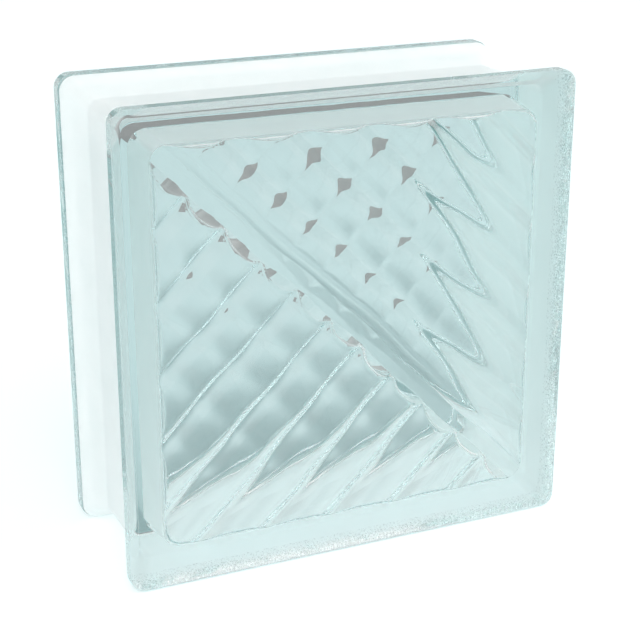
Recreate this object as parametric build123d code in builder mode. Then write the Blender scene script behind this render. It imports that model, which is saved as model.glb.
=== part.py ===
"""Hollow block of pressed glass with fluted inner panes and a white coat in its edge channel."""
import os
from math import ceil, radians, sqrt, tan
from build123d import *

os.makedirs("parts", exist_ok=True)

# Sizes in millimetres. X runs across the face, Y through the block with the front at -Y, Z up.
block_size = 190.0
block_depth = 80.0
corner_radius = 6.0
face_edge_radius = 3.0

# Edge channel of one half: a lip beside the face, a sloped flank, then the floor at the seam.
lip_depth = 8.0
lip_round = 1.5
flank_depth = 16.0
channel_depth = 7.5
channel_round = 4.0
waist_radius = 5.0

# Cavity of one half: it narrows from the seam to the pane, like the tool that pressed it.
wall = 5.0
cavity_draft = 2.5
cavity_radius = 8.0
pane_radius = 7.0
pane_round = 4.5
pane_glass = 7.0

# Relief on the inside of the pane: a smooth band across it, hollow flutes square to the band on one
# side and waves along it on the other.
flute_pitch = 20.0
flute_rise = 1.8
flute_round = 3.0
flute_bed = 0.6
flute_end_slope = 60.0
wave_rise = 2.4
wave_round = 6.0
band_width = 7.0
band_lift = 0.3

# White coat on the channel.
coat_thickness = 0.4
coat_margin = 1.5

half_depth = block_depth / 2
floor_depth = half_depth - lip_depth - flank_depth
waist_size = block_size - 2 * channel_depth
cavity_size = waist_size - 2 * wall
cavity_reach = half_depth - pane_glass
pane_size = cavity_size - 2 * cavity_draft
pane_diagonal = pane_size * sqrt(2)

# Flutes and waves are shallow arcs that meet in rounded ridges, each as high as its rise.
flute_radius = (flute_pitch**2 / 4 + flute_rise**2) / (2 * flute_rise) - flute_round
flute_cusp = flute_radius - sqrt(flute_radius**2 - flute_pitch**2 / 4)
flute_count = 2 * ceil(pane_diagonal / 2 / flute_pitch) + 1
wave_radius = (flute_pitch**2 / 4 + wave_rise**2) / (2 * wave_rise) - wave_round
wave_cusp = wave_radius - sqrt(wave_radius**2 - flute_pitch**2 / 4)
wave_count = ceil(pane_diagonal / 2 / flute_pitch)
band_height = wave_rise + band_lift
first_wave = band_width / 2 + sqrt(2 * wave_radius * band_height - band_height**2)
last_wave = first_wave + (wave_count - 0.75) * flute_pitch
end_run = (band_height + flute_rise) * tan(radians(flute_end_slope))

# The band runs from the upper left corner of the pane to the lower right one, seen from the front.
along_band = Vector(1, 0, -1).normalized()
across_band = Vector(1, 0, 1).normalized()
seam = Plane(origin=(0, 0, block_size / 2), x_dir=(1, 0, 0), z_dir=(0, -1, 0))
pane_centre = seam.offset(cavity_reach).origin

# Glass under the flutes square to the band, on its lower left.
with BuildPart() as flute_ridges:
    with BuildSketch(Plane(origin=pane_centre, x_dir=along_band, z_dir=across_band)) as flute_section:
        with Locations((0, -flute_rise)):
            Rectangle(
                (flute_count - 0.5) * flute_pitch,
                flute_rise + flute_radius,
                align=(Align.CENTER, Align.MIN),
            )
        with Locations((0, flute_radius)):
            with GridLocations(flute_pitch, 0, flute_count, 1):
                Circle(flute_radius, mode=Mode.SUBTRACT)
        cusps = flute_section.vertices().filter_by(lambda v: abs(v.Y - flute_cusp) < 0.01)
        fillet(cusps, radius=flute_round)
    extrude(amount=-pane_diagonal / 2)

# Glass under the band and the waves along it, on its upper right. The slope beside the band ends
# the flutes that are square to it.
with BuildPart() as band_waves:
    with BuildSketch(Plane(origin=pane_centre, x_dir=across_band, z_dir=-along_band)) as wave_section:
        Polygon(
            (-band_width / 2 - end_run, -flute_rise),
            (last_wave, -flute_rise),
            (last_wave, wave_radius),
            (first_wave, wave_radius),
            (first_wave, band_height),
            (-band_width / 2, band_height),
            align=None,
        )
        with Locations((first_wave + (wave_count - 1) * flute_pitch / 2, wave_radius)):
            with GridLocations(flute_pitch, 0, wave_count, 1):
                Circle(wave_radius, mode=Mode.SUBTRACT)
        cusps = wave_section.vertices().filter_by(lambda v: abs(v.Y - wave_cusp) < 0.01)
        fillet(cusps, radius=wave_round)
    extrude(amount=pane_diagonal / 2, both=True)

# Hollow of one half, with the relief taken out of its end.
with BuildPart() as hollow:
    with BuildSketch(seam):
        RectangleRounded(cavity_size, cavity_size, cavity_radius)
    with BuildSketch(seam.offset(cavity_reach + flute_bed)):
        RectangleRounded(pane_size, pane_size, pane_radius)
    loft(ruled=True)
    fillet(hollow.faces().sort_by(Axis.Y)[0].edges(), radius=pane_round)
    add(flute_ridges.part, mode=Mode.SUBTRACT)
    add(band_waves.part, mode=Mode.SUBTRACT)

# Both halves come from one mould: the rear one is the front one turned over about the band.
with BuildPart() as glass_body:
    with BuildSketch(seam):
        RectangleRounded(waist_size, waist_size, waist_radius)
    extrude(amount=floor_depth)
    with BuildSketch(seam.offset(floor_depth)):
        RectangleRounded(waist_size, waist_size, waist_radius)
    with BuildSketch(seam.offset(floor_depth + flank_depth)):
        RectangleRounded(block_size, block_size, corner_radius)
    loft(ruled=True)
    with BuildSketch(seam.offset(floor_depth + flank_depth)):
        RectangleRounded(block_size, block_size, corner_radius)
    extrude(amount=lip_depth)
    floor_edges = glass_body.edges().filter_by_position(Axis.Y, -floor_depth - 0.01, -floor_depth + 0.01)
    fillet(floor_edges, radius=channel_round)
    lip_y = -floor_depth - flank_depth
    lip_edges = glass_body.edges().filter_by_position(Axis.Y, lip_y - 0.01, lip_y + 0.01)
    fillet(lip_edges, radius=lip_round)
    fillet(glass_body.faces().sort_by(Axis.Y)[0].edges(), radius=face_edge_radius)
    mirror(about=seam)
    add(hollow.part, mode=Mode.SUBTRACT)
    add(hollow.part.rotate(Axis(seam.origin, along_band), 180), mode=Mode.SUBTRACT)

# The coat follows the channel and stops a little short of each lip.
coat_drop = channel_depth * coat_margin / flank_depth
coat_edge_size = block_size - 2 * coat_drop
coat_edge_radius = corner_radius - (corner_radius - waist_radius) * coat_margin / flank_depth
with BuildPart() as edge_coating:
    with BuildSketch(seam):
        RectangleRounded(
            waist_size + 2 * coat_thickness, waist_size + 2 * coat_thickness, waist_radius + coat_thickness
        )
    extrude(amount=floor_depth)
    with BuildSketch(seam.offset(floor_depth)):
        RectangleRounded(
            waist_size + 2 * coat_thickness, waist_size + 2 * coat_thickness, waist_radius + coat_thickness
        )
    with BuildSketch(seam.offset(floor_depth + flank_depth - coat_margin)):
        RectangleRounded(
            coat_edge_size + 2 * coat_thickness,
            coat_edge_size + 2 * coat_thickness,
            coat_edge_radius + coat_thickness,
        )
    loft(ruled=True)
    mirror(about=seam)
    with BuildSketch(seam):
        Rectangle(cavity_size, cavity_size)
    extrude(amount=half_depth, both=True, mode=Mode.SUBTRACT)
    add(glass_body.part, mode=Mode.SUBTRACT)

glass_body.part.label = "glass_body"
export_step(glass_body.part, "parts/glass_body.step")
edge_coating.part.label = "edge_coating"
export_step(edge_coating.part, "parts/edge_coating.step")
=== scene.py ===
from math import atan2, cos, pi, radians, sin, sqrt, tan

import bpy
import numpy as np
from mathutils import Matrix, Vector
from mathutils.geometry import delaunay_2d_cdt


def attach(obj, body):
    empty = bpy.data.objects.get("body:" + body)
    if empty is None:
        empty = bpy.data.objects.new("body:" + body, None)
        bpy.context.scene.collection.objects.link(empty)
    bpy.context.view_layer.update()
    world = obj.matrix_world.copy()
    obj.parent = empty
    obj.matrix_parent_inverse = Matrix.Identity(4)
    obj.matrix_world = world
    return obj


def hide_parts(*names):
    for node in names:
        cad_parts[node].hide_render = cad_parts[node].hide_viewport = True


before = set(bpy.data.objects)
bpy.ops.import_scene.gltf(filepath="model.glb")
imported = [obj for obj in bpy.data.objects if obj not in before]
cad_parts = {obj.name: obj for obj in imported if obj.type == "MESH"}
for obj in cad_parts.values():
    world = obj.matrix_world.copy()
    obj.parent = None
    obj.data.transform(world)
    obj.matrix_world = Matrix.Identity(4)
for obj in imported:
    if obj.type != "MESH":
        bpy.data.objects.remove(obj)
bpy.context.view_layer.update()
scene = bpy.context.scene

# Sizes in millimetres, as in the solids. X across the face, Y through the block, Z up.
MM_PER_M = 1000
block_size = 190.0
block_depth = 80.0
corner_radius = 6.0
face_edge_radius = 3.0
lip_depth = 8.0
lip_round = 1.5
flank_depth = 16.0
channel_depth = 7.5
channel_round = 4.0
waist_radius = 5.0
wall = 5.0
cavity_draft = 2.5
cavity_radius = 8.0
pane_radius = 7.0
pane_round = 4.5
pane_glass = 7.0
pitch = 20.0
flute_rise = 1.8
flute_bed = 0.6
flute_end_slope = 60.0
wave_rise = 2.4
wave_round = 6.0
band_width = 7.0
band_lift = 0.3
coat_thickness = 0.4
coat_margin = 1.5

# In the scene alone: how deep the coat's edge frays, and the gap under the coat's inner layer.
ragged_depth = 6.0
coat_gap = 0.05

half_size = block_size / 2
half_depth = block_depth / 2
floor_depth = half_depth - lip_depth - flank_depth
coat_end = half_depth - lip_depth - coat_margin
cavity_half = half_size - channel_depth - wall
pane_half = cavity_half - cavity_draft
cavity_reach = half_depth - pane_glass
pane_diagonal = 2 * pane_half * sqrt(2)
band_height = wave_rise + band_lift
band_slope = tan(radians(flute_end_slope))
wave_radius = (pitch**2 / 4 + wave_rise**2) / (2 * wave_rise) - wave_round
band_reach = sqrt(2 * wave_radius * band_height - band_height**2)
first_wave = band_width / 2 + band_reach
cavity_bottom = cavity_reach + flute_bed
wall_tilt = atan2(cavity_draft, cavity_bottom)

# Points on each side and corner arc of the outside's rings, and steps in the rounds of its profile.
SIDE_POINTS, ARC_POINTS = 40, 12
EDGE_STEPS, LIP_STEPS, CHANNEL_STEPS = 8, 6, 8
ring_points = 4 * (SIDE_POINTS + ARC_POINTS)
ROUND_OFF = 1e-6

# Numbers of the glass body's materials.
GLASS, FRAYED, COATED = 0, 1, 2


def rounded_square(half, radius, n_side, n_arc):
    """Points and outward directions round a square with round corners, in the face's plane."""
    points, outs = [], []
    for k, (cx, cz) in enumerate(((1, 1), (-1, 1), (-1, -1), (1, -1))):
        start = k * pi / 2
        for i in range(n_arc + 1):
            a = start + i / n_arc * pi / 2
            outs.append((cos(a), sin(a)))
            points.append((cx * (half - radius) + radius * cos(a), cz * (half - radius) + radius * sin(a)))
        end = start + pi / 2
        x, z = points[-1]
        span = 2 * (half - radius)
        for i in range(1, n_side):
            t = span * i / n_side
            points.append((x - t * sin(end), z + t * cos(end)))
            outs.append((cos(end), sin(end)))
    return np.array(points), np.array(outs)


class Shell:
    """Collects vertices, faces, one normal per face corner and a material number per face."""

    def __init__(self):
        self.verts, self.faces, self.normals, self.slots = [], [], [], []

    def add_verts(self, pts):
        first = len(self.verts)
        self.verts.extend(tuple(p) for p in pts)
        return first

    def add_face(self, face, corners, slot):
        self.faces.append(face)
        self.normals.extend(corners)
        self.slots.append(slot)

    def strip(self, a, b, na, nb, slot, flip):
        """Faces between two closed rings that start at vertices a and b."""
        for i in range(ring_points):
            j = (i + 1) % ring_points
            face = [a + i, a + j, b + j, b + i]
            corners = [na[i], na[j], nb[j], nb[i]]
            if flip:
                face.reverse()
                corners.reverse()
            self.add_face(face, corners, slot)

    def add_rings(self, rows, lift, sign):
        """A ring of points for each row of a profile, moved out by lift, with their normals."""
        rings, normals = [], []
        for inset, y, out_share, y_share in rows:
            half, radius = half_size - inset + lift, corner_at(inset, -abs(y)) + lift
            pts, outs = rounded_square(half, radius, SIDE_POINTS, ARC_POINTS)
            rings.append(self.add_verts([(p[0], y, p[1] + half_size) for p in pts]))
            normals.append([(sign * o[0] * out_share, sign * y_share, sign * o[1] * out_share) for o in outs])
        return rings, normals

    def to_object(self, name, materials):
        """Mesh object in metres, shaded by the collected normals."""
        mesh = bpy.data.meshes.new(name)
        mesh.from_pydata([tuple(v / MM_PER_M for v in p) for p in self.verts], [], self.faces)
        mesh.polygons.foreach_set("use_smooth", [True] * len(mesh.polygons))
        mesh.polygons.foreach_set("material_index", self.slots)
        mesh.normals_split_custom_set(self.normals)
        mesh.update()
        for material in materials:
            mesh.materials.append(material)
        piece = bpy.data.objects.new(name, mesh)
        scene.collection.objects.link(piece)
        return piece


def outer_profile():
    """Rows of inset, y and the normal's outward and y shares, from the front face to the seam."""
    rows = []
    for i in range(EDGE_STEPS + 1):
        a = pi / 2 * i / EDGE_STEPS
        y = -half_depth + face_edge_radius * (1 - cos(a))
        rows.append((face_edge_radius * (1 - sin(a)), y, sin(a), -cos(a)))
    slope = atan2(channel_depth, flank_depth)
    lip_y = -half_depth + lip_depth
    cut = lip_round * tan(slope / 2)
    for i in range(LIP_STEPS + 1):
        a = slope * i / LIP_STEPS
        rows.append((lip_round * (1 - cos(a)), lip_y - cut + lip_round * sin(a), cos(a), sin(a)))
    for run in (coat_margin, coat_margin + ragged_depth):
        rows.append((channel_depth * run / flank_depth, lip_y + run, cos(slope), sin(slope)))
    cut = channel_round * tan(slope / 2)
    for i in range(CHANNEL_STEPS + 1):
        a = slope * (1 - i / CHANNEL_STEPS)
        inset = channel_depth - channel_round * (1 - cos(a))
        rows.append((inset, -floor_depth + cut - channel_round * sin(a), cos(a), sin(a)))
    return rows


def corner_at(inset, y):
    """Corner radius of the outside at a row of the profile."""
    if y < -half_depth + face_edge_radius + ROUND_OFF:
        return corner_radius - inset
    return corner_radius + (waist_radius - corner_radius) * inset / channel_depth


def zone_at(y):
    """Material of the outside at a depth."""
    if abs(y) < coat_end - ragged_depth:
        return COATED
    return FRAYED if abs(y) < half_depth - face_edge_radius else GLASS


# Outside of the glass, from the front face to the rear one.
glass = Shell()
rows = outer_profile()
rows = rows + [(d, -y, o, -s) for d, y, o, s in reversed(rows)]
rings, ring_normals = glass.add_rings(rows, 0, 1)
for k in range(len(rows) - 1):
    zone = zone_at((rows[k][1] + rows[k + 1][1]) / 2)
    glass.strip(rings[k], rings[k + 1], ring_normals[k], ring_normals[k + 1], zone, True)
front_face = [rings[0] + i for i in range(ring_points)]
rear_face = [rings[-1] + i for i in reversed(range(ring_points))]
glass.add_face(front_face, [(0, -1, 0)] * ring_points, GLASS)
glass.add_face(rear_face, [(0, 1, 0)] * ring_points, GLASS)


# A flute is a hollow of this power up to this share of its half width, then its ridge's round.
RIDGE = 0.86
POWER = 2.7

# How softly the relief's forms run into each other, in millimetres, and how flat a wave's flank is.
FOOT_BLEND, TOP_BLEND, EDGE_BLEND = 0.5, 0.3, 0.4
WAVE_FLATTER = 0.13

# Unevenness of a pressing: shares of the height, and millimetres sideways that fade at the edge.
SWELL_BROAD, SWELL_FINE = 0.08, 0.06
STRAY_BROAD, STRAY_FINE = 0.6, 0.5
STRAY_FADE = 12


def slow_wave(distance, length, phase):
    """Smooth swing between -1 and 1."""
    return np.sin(distance / length + phase)


def groove(tau):
    """Height over the bottom of a flute at tau from its middle, with the ridge's round."""
    t = np.minimum(np.abs(tau) / (pitch / 2), 1)
    steep = flute_rise / (RIDGE**POWER + POWER * RIDGE ** (POWER - 1) * (1 - RIDGE) / 2)
    hollow = steep * t**POWER
    slope = steep * POWER * RIDGE ** (POWER - 1)
    ridge = flute_rise - slope * (1 - t) ** 2 / (2 * (1 - RIDGE))
    return np.where(t > RIDGE, ridge, hollow)


def soft_max(a, b, blend):
    share = np.clip(0.5 + 0.5 * (b - a) / blend, 0, 1)
    return a * (1 - share) + b * share + blend * share * (1 - share) / 2


def relief(x, z):
    """Height over the flutes' bottoms: flutes square to the band, its slope and land, waves along it."""
    s = (x - z) / sqrt(2)
    n = (x + z) / sqrt(2)
    cross = groove(s - pitch * np.round(s / pitch))
    ramp = band_height + (band_width / 2 + n) / band_slope
    land = np.full_like(cross, -band_height)
    lower = -soft_max(-soft_max(cross, ramp, FOOT_BLEND), land, TOP_BLEND)
    m = n - first_wave
    first = wave_radius - np.sqrt(wave_radius**2 - np.clip(m, -band_reach, 0) ** 2)
    turn = 2 * pi * m / pitch
    later = wave_rise * (0.5 - 0.5 * np.cos(turn) - WAVE_FLATTER * np.sin(turn) ** 2)
    upper = np.where(m < 0, first, later)
    broad = SWELL_BROAD * slow_wave(s, 13, 0.8) * slow_wave(n, 17, 1.9)
    swell = 1 + broad + SWELL_FINE * slow_wave(s + 2 * n, 21, 0)
    return np.where(n < 0, lower, upper) * swell


pane_edge_half = pane_half + cavity_draft * pane_round / cavity_bottom
pane_edge_radius = pane_radius + (cavity_radius - pane_radius) * pane_round / cavity_bottom
pane_edge_straight = pane_edge_half - pane_edge_radius


def edge_distance(x, z):
    """Distance inwards from the outline in which the pane's round starts."""
    ax, az = np.abs(x) - pane_edge_straight, np.abs(z) - pane_edge_straight
    beyond = np.sqrt(np.maximum(ax, 0) ** 2 + np.maximum(az, 0) ** 2)
    return pane_edge_radius - (beyond + np.minimum(np.maximum(ax, az), 0))


def wander(x, z):
    """How far the pressed lines stray sideways; nothing at the pane's edge."""
    calm = np.clip((edge_distance(x, z) - pane_round) / STRAY_FADE, 0, 1)
    dx = STRAY_BROAD * slow_wave(z, 14, 0.4) + STRAY_FINE * slow_wave(x + z, 7.5, 2.0)
    dz = STRAY_BROAD * slow_wave(x, 15, 1.3) + STRAY_FINE * slow_wave(x - z, 8.5, 0.6)
    return dx * calm, dz * calm


def pane_height(x, z):
    """Height of the pane's inside: the relief, with the round at its edge."""
    d = np.clip(edge_distance(x, z), 0, pane_round)
    fillet = pane_round - flute_bed - np.sqrt(np.maximum(pane_round**2 - (pane_round - d) ** 2, 0))
    return soft_max(relief(x, z), fillet, EDGE_BLEND)


# Mesh of one pane: rings round its edge, and lines along the flutes and waves inside them.
RING_ANGLES = (0, 8, 16, 24, 32, 40, 49, 58, 68, 79, 90)
EDGE_POINTS, CORNER_POINTS = 300, 20
HOLLOW_STEPS, RIDGE_STEPS = 8, 6
FIRST_WAVE_STEPS, WAVE_STEPS, WAVES = 12, 28, 6
FLUTES_EACH_WAY = 6
LINE_STEP = 2.0
INSIDE_RINGS = 0.2
BAND_EDGE_STOPS = (-0.3, 0.0, 0.3)
FOOT_STOPS = (-1.6, -0.8, -0.4, 0.0, 0.4, 0.8, 1.6)
FOOT_CLEAR = 0.4
BAND_LINES = [-1.0, 1.0] + [band_width / 2 + v for v in (-0.1, 0.1)]
GRADIENT_STEP = 0.05

flat, edges, rings_2d = [], [], []
for angle in RING_ANGLES:
    d = pane_round * (1 - sin(radians(angle)))
    pts, outs = rounded_square(pane_edge_half - d, pane_edge_radius - d, EDGE_POINTS, CORNER_POINTS)
    rings_2d.append((len(flat), outs))
    edges.extend((len(flat) + i, len(flat) + (i + 1) % len(pts)) for i in range(len(pts)))
    flat.extend((p[0], p[1]) for p in pts)
ring_count = len(pts)
border, border_outs = rings_2d[-1]


def add_line(line):
    """Points given as (s, n), joined one after the other as far as they lie inside the rings."""
    last = None
    for s, n in line:
        x, z = (s + n) / sqrt(2), (n - s) / sqrt(2)
        if edge_distance(np.array(x), np.array(z)) < pane_round + INSIDE_RINGS:
            last = None
            continue
        if last is not None:
            edges.append((last, len(flat)))
        last = len(flat)
        flat.append((x, z))


touch = 0.5 * RIDGE
shares = [touch * k / HOLLOW_STEPS for k in range(HOLLOW_STEPS + 1)]
shares += [touch + (0.5 - touch) * k / RIDGE_STEPS for k in range(1, RIDGE_STEPS)]
shares = sorted([-v for v in shares[1:]] + shares + [0.5])
reach = pane_diagonal / 2 + 1
for s in [pitch * (k + v) for k in range(-FLUTES_EACH_WAY, FLUTES_EACH_WAY + 1) for v in shares]:
    h = float(groove(np.array(s - pitch * round(s / pitch))))
    foot = band_width / 2 + (band_height - h) * band_slope
    stops = [band_width / 2 + v for v in BAND_EDGE_STOPS]
    stops += [foot + v for v in FOOT_STOPS if foot + v > band_width / 2 + FOOT_CLEAR]
    while stops[-1] < reach:
        stops.append(stops[-1] + LINE_STEP)
    add_line([(s, -v) for v in stops])
wave_lines = [first_wave - band_reach * k / FIRST_WAVE_STEPS for k in range(1, FIRST_WAVE_STEPS)]
wave_lines += [first_wave + pitch * k / WAVE_STEPS for k in range(WAVE_STEPS * WAVES)]
for n in BAND_LINES + wave_lines:
    add_line([(float(s), n) for s in np.arange(-reach, reach, LINE_STEP)])

made = delaunay_2d_cdt([Vector(p) for p in flat], edges, [], 1, ROUND_OFF)
plane_pts = np.array([(v[0], v[1]) for v in made[0]])
triangles = [list(f) for f in made[2]]
source = {o: i for i, origins in enumerate(made[3]) for o in origins}
pane_border = [source[border + i] for i in range(ring_count)]

px, pz = plane_pts[:, 0], plane_pts[:, 1]
height = pane_height(px, pz)
gx = (pane_height(px + GRADIENT_STEP, pz) - pane_height(px - GRADIENT_STEP, pz)) / (2 * GRADIENT_STEP)
gz = (pane_height(px, pz + GRADIENT_STEP) - pane_height(px, pz - GRADIENT_STEP)) / (2 * GRADIENT_STEP)
normal = np.stack([-gx, np.ones(len(gx)), -gz], 1)
normal /= np.linalg.norm(normal, axis=1)[:, None]


def wall_normal(o):
    """Normal of the cavity's wall, into the cavity."""
    return (-o[0] * cos(wall_tilt), sin(wall_tilt), -o[1] * cos(wall_tilt))


for v, o in zip(pane_border, border_outs):
    height[v] = pane_round - flute_bed
    normal[v] = wall_normal(o)

# Front half of the cavity: the pane's inside, and the wall from it to the seam.
half = Shell()
plane_pts = plane_pts + np.stack(wander(px, pz), 1)
half.add_verts([(p[0], -cavity_reach + h, p[1]) for p, h in zip(plane_pts, height)])
for t in triangles:
    a, b, c = (np.array(half.verts[i]) for i in t)
    if np.cross(b - a, c - a)[1] < 0:
        t.reverse()
    half.add_face(t, [tuple(normal[i]) for i in t], GLASS)
seam_pts, seam_outs = rounded_square(cavity_half, cavity_radius, EDGE_POINTS, CORNER_POINTS)
seam_first = half.add_verts([(p[0], 0.0, p[1]) for p in seam_pts])
wall_normals = [wall_normal(o) for o in seam_outs]
for i in range(ring_count):
    j = (i + 1) % ring_count
    face = [pane_border[j], seam_first + j, seam_first + i, pane_border[i]]
    half.add_face(face, [wall_normals[j], wall_normals[j], wall_normals[i], wall_normals[i]], GLASS)


def seam_key(x, z):
    return round(x, 4), round(z, 4)


# The rear half is the front one turned over about the band, and shares its points on the seam.
first = glass.add_verts([(x, y, z + half_size) for x, y, z in half.verts])
glass.faces.extend([first + i for i in f] for f in half.faces)
glass.normals.extend(half.normals)
glass.slots.extend(half.slots)
seam_lookup = {seam_key(x, z): first + seam_first + i for i, (x, y, z) in enumerate(half.verts[seam_first:])}
turned = {}
for i, (x, y, z) in enumerate(half.verts):
    key = seam_key(-z, -x)
    if i >= seam_first and key in seam_lookup:
        turned[i] = seam_lookup[key]
    else:
        turned[i] = glass.add_verts([(-z, -y, -x + half_size)])
glass.faces.extend([turned[i] for i in f] for f in half.faces)
glass.normals.extend((-n[2], -n[1], -n[0]) for n in half.normals)
glass.slots.extend(half.slots)


class Graph:
    """Short ways to fill a node tree."""

    def __init__(self, tree):
        tree.nodes.clear()
        self.tree = tree

    def add(self, kind, values=None, operation=None):
        node = self.tree.nodes.new("ShaderNode" + kind)
        if operation:
            node.operation = operation
        for socket, value in (values or {}).items():
            node.inputs[socket].default_value = value
        return node

    def join(self, source, target, socket, output=0):
        self.tree.links.new(source.outputs[output], target.inputs[socket])

    def noise(self, coords, scale, detail):
        node = self.add("TexNoise", {"Scale": scale, "Detail": detail})
        self.join(coords, node, "Vector", "Object")
        return node

    def bump(self, texture, strength, distance):
        node = self.add("Bump", {"Strength": strength, "Distance": distance})
        self.join(texture, node, "Height")
        return node

    def mix(self, first, second):
        node = self.add("MixShader")
        self.join(first, node, 1)
        self.join(second, node, 2)
        return node


def new_material(name):
    material = bpy.data.materials.new(name)
    material.use_nodes = True
    return material, Graph(material.node_tree)


GLASS_TINT = (0.985, 0.997, 0.995, 1)
GLASS_IOR = 1.52
ABSORB_COLOUR = (0.25, 0.80, 0.78, 1)
ABSORB_DENSITY = 0.9
RIPPLE_SCALE, RIPPLE_DETAIL, RIPPLE_STRENGTH, RIPPLE_HEIGHT = 45, 1.5, 0.25, 0.0006

# Where the coat's edge frays, as |y| in metres, how much it covers there, and how soft its specks are.
FRAY_START, FRAY_END = 0.0265, 0.0320
COVER_START, COVER_END = 0.72, 0.25
SPECK_SCALE, SPECK_DETAIL = 1600, 3
SPECK_LOW, SPECK_HIGH = -0.30, 0.20

# The coat: how much light it lets through, its whites, and its grain in metres.
FRAYED_SHARE, COAT_SHARE = 0.5, 0.6
COAT_WHITE, COAT_BACK_WHITE = 0.98, 0.99
COAT_DARK, COAT_LIGHT = (0.88, 0.90, 0.90, 1), (0.96, 0.965, 0.965, 1)
COAT_DARK_AT, COAT_LIGHT_AT = 0.3, 0.6
CLOUD_SCALE, CLOUD_DETAIL = 60, 3
GRAIN_SCALE, GRAIN_DETAIL, GRAIN_STRENGTH, GRAIN_HEIGHT = 700, 4, 0.5, 0.0003


def clear_glass(g):
    return g.add("BsdfPrincipled", {
        "Base Color": GLASS_TINT,
        "Roughness": 0.0,
        "IOR": GLASS_IOR,
        "Transmission Weight": 1.0,
    })


def glass_output(g, surface):
    """Output with a surface, and the glass's own colour in the volume behind it."""
    out = g.add("OutputMaterial")
    volume = g.add("VolumeAbsorption", {"Color": ABSORB_COLOUR, "Density": ABSORB_DENSITY})
    g.join(surface, out, "Surface")
    g.join(volume, out, "Volume")


def white_paint(g, share, level):
    """Thin white coat: it sends light back and lets a share through. Gives the whole and the matt part."""
    back = g.add("BsdfDiffuse", {"Color": (level, level, level, 1)})
    through = g.add("BsdfTranslucent", {"Color": (level, level, level, 1)})
    paint = g.mix(back, through)
    paint.inputs[0].default_value = share
    return paint, back


# Bare glass, slightly wavy.
glass_mat, g = new_material("aqua_glass")
bsdf = clear_glass(g)
ripple = g.noise(g.add("TexCoord"), RIPPLE_SCALE, RIPPLE_DETAIL)
g.join(g.bump(ripple, RIPPLE_STRENGTH, RIPPLE_HEIGHT), bsdf, "Normal")
glass_output(g, bsdf)

# Glass on which the coat's edge frays out in specks.
paint_mat, g = new_material("coat_on_glass")
coords = g.add("TexCoord")
split = g.add("SeparateXYZ")
g.join(coords, split, 0, "Object")
depth = g.add("Math", operation="ABSOLUTE")
g.join(split, depth, 0, "Y")
fade = g.add("MapRange", {
    "From Min": FRAY_START,
    "From Max": FRAY_END,
    "To Min": COVER_START,
    "To Max": COVER_END,
})
g.join(depth, fade, "Value")
gap = g.add("Math", operation="SUBTRACT")
g.join(fade, gap, 0)
g.join(g.noise(coords, SPECK_SCALE, SPECK_DETAIL), gap, 1)
mask = g.add("MapRange", {"From Min": SPECK_LOW, "From Max": SPECK_HIGH})
g.join(gap, mask, "Value")
frayed = g.mix(clear_glass(g), white_paint(g, FRAYED_SHARE, COAT_BACK_WHITE)[0])
g.join(mask, frayed, 0)
glass_output(g, frayed)

# Glass under the whole coat: the coat piece itself stops the light.
contact_mat, g = new_material("coat_contact")
glass_output(g, g.add("BsdfTransparent"))

block = glass.to_object("glass_block_glass", (glass_mat, paint_mat, contact_mat))
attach(block, "root")
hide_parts("glass_body")

# Outside of the coat, with a fine grain and slightly uneven white.
coat_mat, g = new_material("white_coat")
paint, matt = white_paint(g, COAT_SHARE, COAT_WHITE)
coords = g.add("TexCoord")
grain = g.noise(coords, GRAIN_SCALE, GRAIN_DETAIL)
g.join(g.bump(grain, GRAIN_STRENGTH, GRAIN_HEIGHT), matt, "Normal")
shade = g.add("ValToRGB")
for stop, place, colour in zip(
    shade.color_ramp.elements, (COAT_DARK_AT, COAT_LIGHT_AT), (COAT_DARK, COAT_LIGHT)
):
    stop.position = place
    stop.color = colour
g.join(g.noise(coords, CLOUD_SCALE, CLOUD_DETAIL), shade, 0)
g.join(shade, matt, "Color")
g.join(paint, g.add("OutputMaterial"), "Surface")

back_mat, g = new_material("white_coat_back")
g.join(white_paint(g, COAT_SHARE, COAT_BACK_WHITE)[0], g.add("OutputMaterial"), "Surface")

# The coat: an outer and an inner layer over the channel, closed at both edges.
coat = Shell()
coat_rows = [r for r in rows if abs(r[1]) <= coat_end]
layers = []
for lift, sign, slot in ((coat_thickness, 1, 0), (coat_gap, -1, 1)):
    rings, ring_normals = coat.add_rings(coat_rows, lift, sign)
    layers.append(rings)
    for k in range(len(coat_rows) - 1):
        coat.strip(rings[k], rings[k + 1], ring_normals[k], ring_normals[k + 1], slot, sign > 0)
for end, y_share in ((0, -1), (-1, 1)):
    edge_normals = [(0, y_share, 0)] * ring_points
    coat.strip(layers[0][end], layers[1][end], edge_normals, edge_normals, 0, y_share > 0)
coat_piece = coat.to_object("glass_block_coat", (coat_mat, back_mat))
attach(coat_piece, "root")
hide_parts("edge_coating")

# Pale floor, in metres. It is white to the camera, and to diffuse light it adds a white floor's bounce. Its
# colour has a painted teal shade, which stands in for the teal light that the glass lets into the shadow
# behind the block.
FLOOR_SIDE, FLOOR_NEAR, FLOOR_FAR, FLOOR_DROP = 3, -3, 2.8, -0.0003
FLOOR_COLOUR_AND_TEAL_SHADE, FLOOR_GLOW = (0.54, 0.68, 0.69, 1), (1, 0.90, 0.90, 1)
GLOW_TO_CAMERA, GLOW_TO_DIFFUSE = 0.46, 0.60

floor_mat, g = new_material("floor")
path = g.add("LightPath")
share = g.add("Math", {1: GLOW_TO_DIFFUSE}, "MULTIPLY")
g.join(path, share, 0, "Is Diffuse Ray")
level = g.add("Math", {1: GLOW_TO_CAMERA}, "MULTIPLY_ADD")
g.join(path, level, 0, "Is Camera Ray")
g.join(share, level, 2)
glow = g.add("Emission", {"Color": FLOOR_GLOW})
g.join(level, glow, "Strength")
both = g.add("AddShader")
# Diffuse floor colour: pale, with the painted teal shade of the block's shadow.
g.join(g.add("BsdfDiffuse", {"Color": FLOOR_COLOUR_AND_TEAL_SHADE}), both, 0)
g.join(glow, both, 1)
g.join(both, g.add("OutputMaterial"), "Surface")

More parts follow.
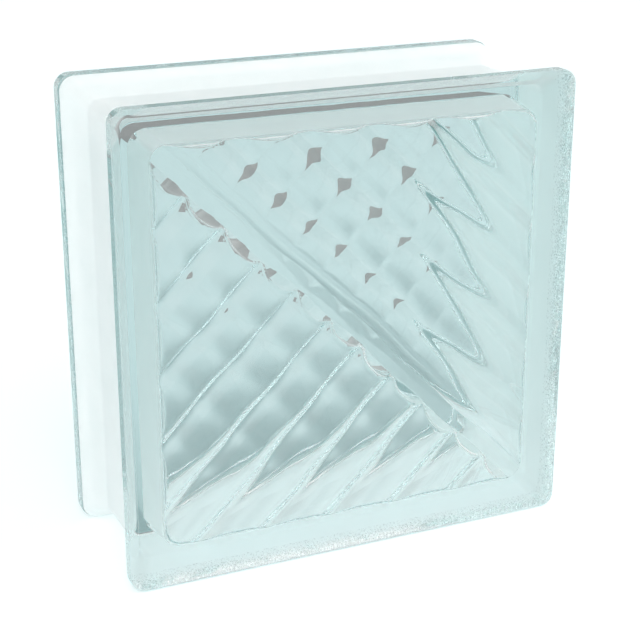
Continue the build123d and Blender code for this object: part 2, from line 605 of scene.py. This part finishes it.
floor_mesh = bpy.data.meshes.new("floor")
floor_corners = [
    (-FLOOR_SIDE, FLOOR_NEAR, 0),
    (FLOOR_SIDE, FLOOR_NEAR, 0),
    (FLOOR_SIDE, FLOOR_FAR, 0),
    (-FLOOR_SIDE, FLOOR_FAR, 0),
]
floor_mesh.from_pydata(floor_corners, [], [(0, 1, 2, 3)])
floor_mesh.materials.append(floor_mat)
floor = bpy.data.objects.new("floor", floor_mesh)
scene.collection.objects.link(floor)
floor.location.z = FLOOR_DROP

# Studio: soft light that is stronger from the front, and a graded white room that only the camera,
# reflections and refractions see.
AMBIENT_COLOUR, AMBIENT_FROM = (0.94, 0.995, 1, 1), (0.4, -0.9, 0.1)
AMBIENT_BEHIND, AMBIENT_FRONT = 0.05, 1.28
ROOM_COLOUR, ROOM_UP = (1, 1, 1, 1), (0, -0.7, 0.7)
ROOM_STOPS = ((0.15, 0.28), (0.23, 0.30), (0.33, 0.60), (0.45, 0.75), (0.56, 1.0))

scene.world = bpy.data.worlds.new("studio")
scene.world.use_nodes = True
g = Graph(scene.world.node_tree)
path = g.add("LightPath")
where = g.add("TexCoord")

facing = g.add("VectorMath", {1: AMBIENT_FROM}, "DOT_PRODUCT")
g.join(where, facing, 0, "Generated")
side = g.add("MapRange", {
    "From Min": -1.0,
    "From Max": 1.0,
    "To Min": AMBIENT_BEHIND,
    "To Max": AMBIENT_FRONT,
})
g.join(facing, side, "Value", "Value")
ambient = g.add("Background", {"Color": AMBIENT_COLOUR})
g.join(side, ambient, "Strength")

rise = g.add("VectorMath", {1: ROOM_UP}, "DOT_PRODUCT")
g.join(where, rise, 0, "Generated")
climb = g.add("Math", {1: 0.5, 2: 0.5}, "MULTIPLY_ADD")
g.join(rise, climb, 0, "Value")
grade = g.add("ValToRGB")
for k, (place, value) in enumerate(ROOM_STOPS):
    stops = grade.color_ramp.elements
    stop = stops[k] if k < len(stops) else stops.new(place)
    stop.position = place
    stop.color = (value, value, value, 1)
g.join(climb, grade, 0)
brightness = g.add("Math", operation="MAXIMUM")
g.join(grade, brightness, 0)
g.join(path, brightness, 1, "Is Camera Ray")
room = g.add("Background", {"Color": ROOM_COLOUR})
g.join(brightness, room, "Strength")

sees_camera_or_gloss = g.add("Math", operation="MAXIMUM")
g.join(path, sees_camera_or_gloss, 0, "Is Camera Ray")
g.join(path, sees_camera_or_gloss, 1, "Is Glossy Ray")
sees_room = g.add("Math", operation="MAXIMUM")
g.join(sees_camera_or_gloss, sees_room, 0)
g.join(path, sees_room, 1, "Is Transmission Ray")
before_matt = g.add("Math", {1: 0.5}, "LESS_THAN")
g.join(path, before_matt, 0, "Diffuse Depth")
room_share = g.add("Math", operation="MULTIPLY")
g.join(sees_room, room_share, 0)
g.join(before_matt, room_share, 1)
sky = g.mix(ambient, room)
g.join(room_share, sky, 0)
g.join(sky, g.add("OutputWorld"), "Surface")


def aim(direction):
    return direction.to_track_quat("-Z", "Y").to_euler()


# A broad sun that lights by shadow rays alone, so the block keeps its shadow on the floor behind it.
SUN_STRENGTH, SUN_COLOUR, SUN_ANGLE = 1.45, (1, 0.94, 0.93), 38
SUN_DIRECTION = (0.3, 0.9, -1.05)
sun = bpy.data.lights.new("key", "SUN")
sun.energy = SUN_STRENGTH
sun.color = SUN_COLOUR
sun.angle = radians(SUN_ANGLE)
sun.cycles.use_multiple_importance_sampling = False
key = bpy.data.objects.new("key", sun)
scene.collection.objects.link(key)
key.rotation_euler = aim(Vector(SUN_DIRECTION))

# Small fills at both sides, which reflections and refractions don't see.
FILL_SIZE, FILL_Y, FILL_Z, FILL_TARGET = 0.4, -0.32, 0.30, (0, 0, 0.08)
for name, x, power in (("fill_left", -0.55, 0.45), ("fill_right", 0.55, 1.2)):
    lamp = bpy.data.lights.new(name, "AREA")
    lamp.size = FILL_SIZE
    lamp.energy = power
    box = bpy.data.objects.new(name, lamp)
    scene.collection.objects.link(box)
    box.location = (x, FILL_Y, FILL_Z)
    box.visible_glossy = False
    box.visible_transmission = False
    box.rotation_euler = aim(Vector(FILL_TARGET) - box.location)

# Camera at the photo's angle.
CAMERA_PLACE, CAMERA_YAW, CAMERA_TIP = (-0.2439, -0.5494, 0.3068), 24.08, 20.14
SENSOR, LENS, CLIP_NEAR, CLIP_FAR = 36, 87.2, 0.01, 50
cam = bpy.data.cameras.new("camera")
camera = bpy.data.objects.new("camera", cam)
scene.collection.objects.link(camera)
yaw, tip = radians(CAMERA_YAW), radians(CAMERA_TIP)
camera.location = CAMERA_PLACE
camera.rotation_euler = aim(Vector((sin(yaw) * cos(tip), cos(yaw) * cos(tip), -sin(tip))))
cam.sensor_width = SENSOR
cam.lens = LENS
cam.clip_start, cam.clip_end = CLIP_NEAR, CLIP_FAR
scene.camera = camera
scene.view_settings.view_transform = "Standard"

# Light bounces many times in the block.
scene.cycles.max_bounces = 96
scene.cycles.transmission_bounces = 64
scene.cycles.glossy_bounces = 64
scene.cycles.diffuse_bounces = 32
scene.cycles.transparent_max_bounces = 96
scene.cycles.blur_glossy = 0.0
